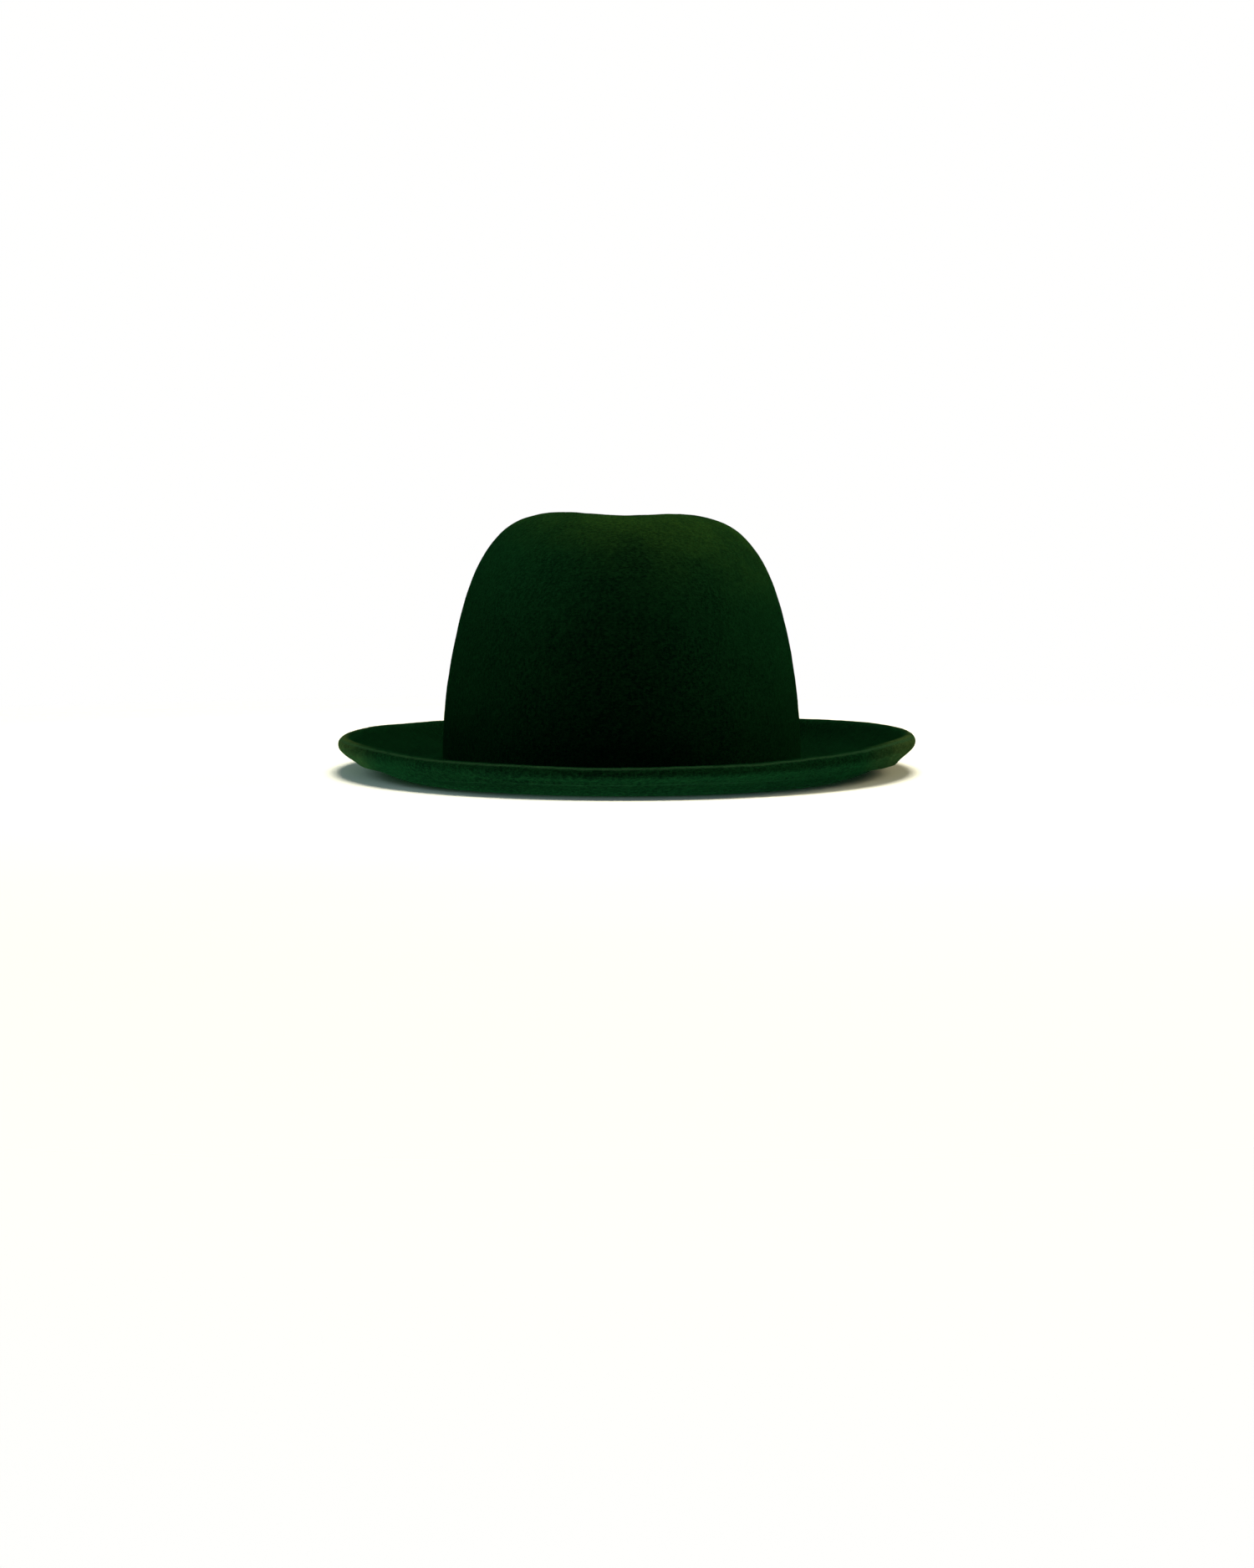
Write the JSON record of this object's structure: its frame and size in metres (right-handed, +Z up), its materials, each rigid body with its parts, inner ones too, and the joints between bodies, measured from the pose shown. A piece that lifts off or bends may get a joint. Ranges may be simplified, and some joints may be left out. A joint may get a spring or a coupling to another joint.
{
  "type": "bowler hat",
  "caption": "Soft dark green felt hat with a rounded crown hollowed along the top, an upturned brim with a folded edge, a leather sweatband and a satin lining.",
  "frame": {"origin": "middle of the plane that the brim rests on, under the middle of the hat", "axes": "+Z up, out of the tip of the crown; -Y the front of the hat; +X the wearer's left"},
  "size_m": [0.271, 0.3114, 0.1198],
  "materials": {
    "felt": "fur felt with a soft velour nap",
    "wire": "drawn spring wire",
    "ferrule": "plain",
    "felt_thread": "spun thread",
    "leather": "smooth, waxed",
    "reed": "extruded",
    "tape": "woven cotton",
    "band_thread": "spun thread",
    "hand_thread": "waxed thread",
    "ribbon": "grosgrain",
    "satin": "satin",
    "satin_thread": "spun thread",
    "film": "clear film",
    "label": "woven, blank"
  },
  "bodies": {
    "hat": {"felt_body": "felt", "brim_wire": "wire", "brim_wire_ferrule": "ferrule", "welt_stitches": "felt_thread", "sweatband": "leather", "sweatband_reed": "reed", "reed_tape": "tape", "sweatband_stitches": "band_thread", "headline_stitches": "hand_thread", "sweatband_seam_tape": "tape", "sweatband_seam_stitches": "band_thread", "sweatband_bow": "ribbon", "bow_knot": "ribbon", "bow_stitches": "hand_thread", "lining_side": "satin", "lining_tip": "satin", "lining_seam_stitches": "satin_thread", "lining_tacks": "hand_thread", "tip_shield": "film", "size_label": "label"}
  },
  "joints": []
}
